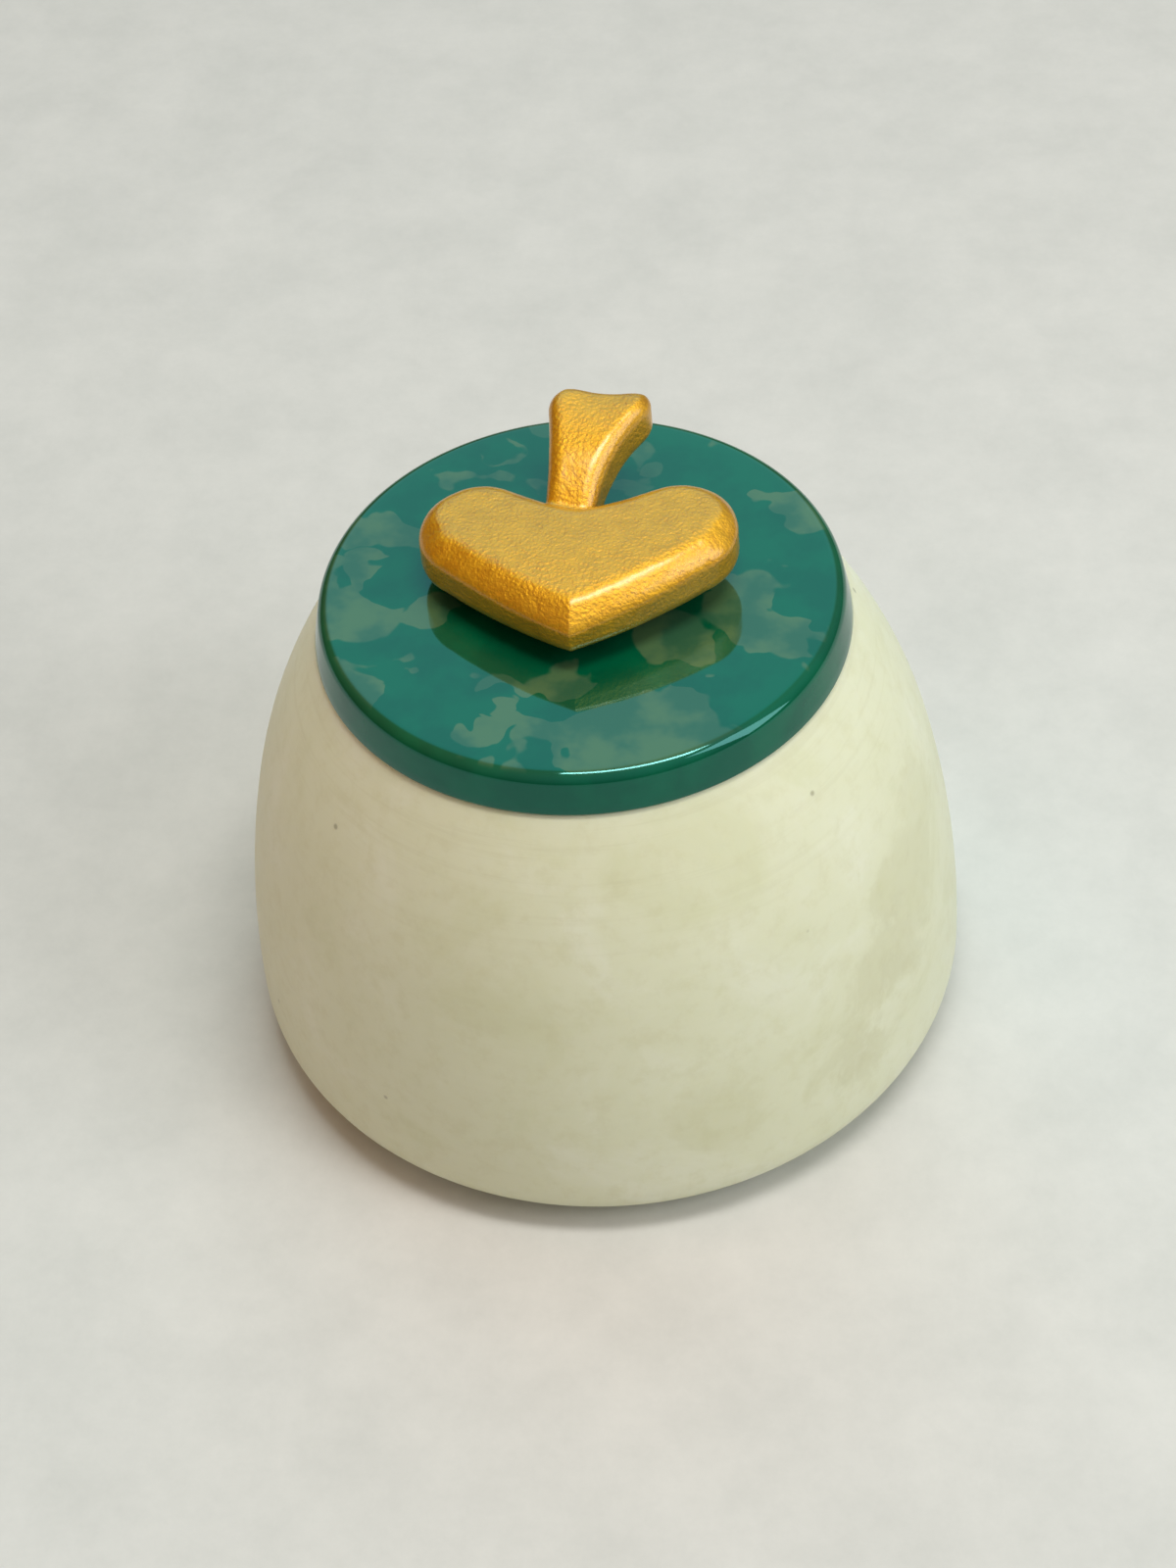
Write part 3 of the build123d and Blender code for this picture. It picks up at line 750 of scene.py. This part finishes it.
def knob_distance(x, y, z):
    """Distance to the casting's skin. x and y are the plan, z is the height over the lid."""
    left, right = half_heart(-heart_tip_aside) * (-1, 1), half_heart(heart_tip_aside)
    outline = np.concatenate([right, left[-2:0:-1]])
    tilted = z - heart_middle - (x * tan(heart_tilt))[..., None]
    side = inside_distance(x, y, outline)[..., None]
    fall = (tip_fall * np.clip(y / heart_tip, 0, 1) ** 2)[..., None]
    top = heart_half - np.where(tilted > 0, fall, 0)
    heart = cushion(side, tilted, top, heart_edge, heart_under_edge)
    steep = hypot(bevel_run, bevel_drop)
    bevel = (side * bevel_drop + (tilted - heart_half + fall + bevel_drop) * bevel_run) / steep
    bevel = bevel - 2 * np.clip((y - bevel_fade[0]) / (bevel_fade[1] - bevel_fade[0]), 0, 1)[..., None]
    heart = -soft_join(-heart, -bevel, bevel_blend)
    around = np.hypot(x, y + heart_shift)[..., None]
    post = np.maximum(around - post_radius, z - heart_middle)
    foot = np.maximum(around - foot_radius, z - foot_height)
    upper = soft_join(heart, stem_distance(x, y, z), stem_blend)
    casting = soft_join(upper, soft_join(post, foot, foot_blend), post_blend)
    bore = np.maximum(around - bore_radius, z - bore_depth)
    return np.maximum(np.maximum(casting, -bore), -z)


grid_x = np.arange(-19, 19, knob_voxel)
grid_y = np.arange(-15, 23, knob_voxel)
grid_z = np.arange(-1, 15, knob_voxel)
plan_x, plan_y = np.meshgrid(grid_x, grid_y, indexing="ij")
distance = knob_distance(plan_x, plan_y, grid_z[None, None, :]).astype(np.float32)
grid = openvdb.FloatGrid(1.0)
grid.copyFromArray(distance)
points, quads = grid.convertToQuads(isovalue=0.0)
points = points * knob_voxel + np.array([grid_x[0], grid_y[0] + heart_shift, grid_z[0] + lid_top])

# Gilt over a sand casting: a deep, slightly patchy gold whose grain breaks the light into fine sparkle,
# under a thin lacquer with a soft gleam. The grain is 0.4 mm, as the sand of the mould was.
gilt, tree, shader = material("gilded_sand_casting")
place = add(tree, "ShaderNodeTexCoord").outputs["Object"]
worn = add(tree, "ShaderNodeTexNoise", {"Vector": place, "Scale": 1 / (gilt_patch * MM), "Detail": 4})
tone = add(tree, "ShaderNodeValToRGB", {"Fac": worn}, stops=((0.3, "#d79a06"), (0.7, "#e2ab14")))
tree.links.new(tone.outputs["Color"], shader.inputs["Base Color"])
shader.inputs["Metallic"].default_value = 0.8
dull = add(tree, "ShaderNodeMapRange", {"Value": worn, "From Min": 0.2, "From Max": 0.8, "To Min": 0.46,
                                        "To Max": 0.58}, interpolation_type="SMOOTHSTEP")
tree.links.new(dull.outputs["Result"], shader.inputs["Roughness"])
shader.inputs["Coat Weight"].default_value = 1
shader.inputs["Coat Roughness"].default_value = 0.24
grain = add(tree, "ShaderNodeTexNoise", {"Vector": place, "Scale": 1 / (sand_grain * MM), "Detail": 2,
                                         "Roughness": 0.5})
bump = add(tree, "ShaderNodeBump", {"Height": grain, "Strength": 0.8, "Distance": 0.2 * MM})
tree.links.new(bump.outputs["Normal"], shader.inputs["Normal"])
knob = mesh_piece("gilded_heart", points * MM, quads, gilt)
places, normals = np.zeros((2, len(knob.data.vertices) * 3))
knob.data.vertices.foreach_get("co", places)
knob.data.vertex_normals.foreach_get("vector", normals)
places, normals = places.reshape(-1, 3), normals.reshape(-1, 3)
skin = [pebble_depth * noise.noise(Vector(p / (pebble_size * MM)))
        + swell_depth * noise.noise(Vector(p / (swell_size * MM))) for p in places]
knob.data.vertices.foreach_set("co", (places + normals * np.array(skin)[:, None] * MM).ravel())
knob.data.update()
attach(knob, "lid")
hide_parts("knob")
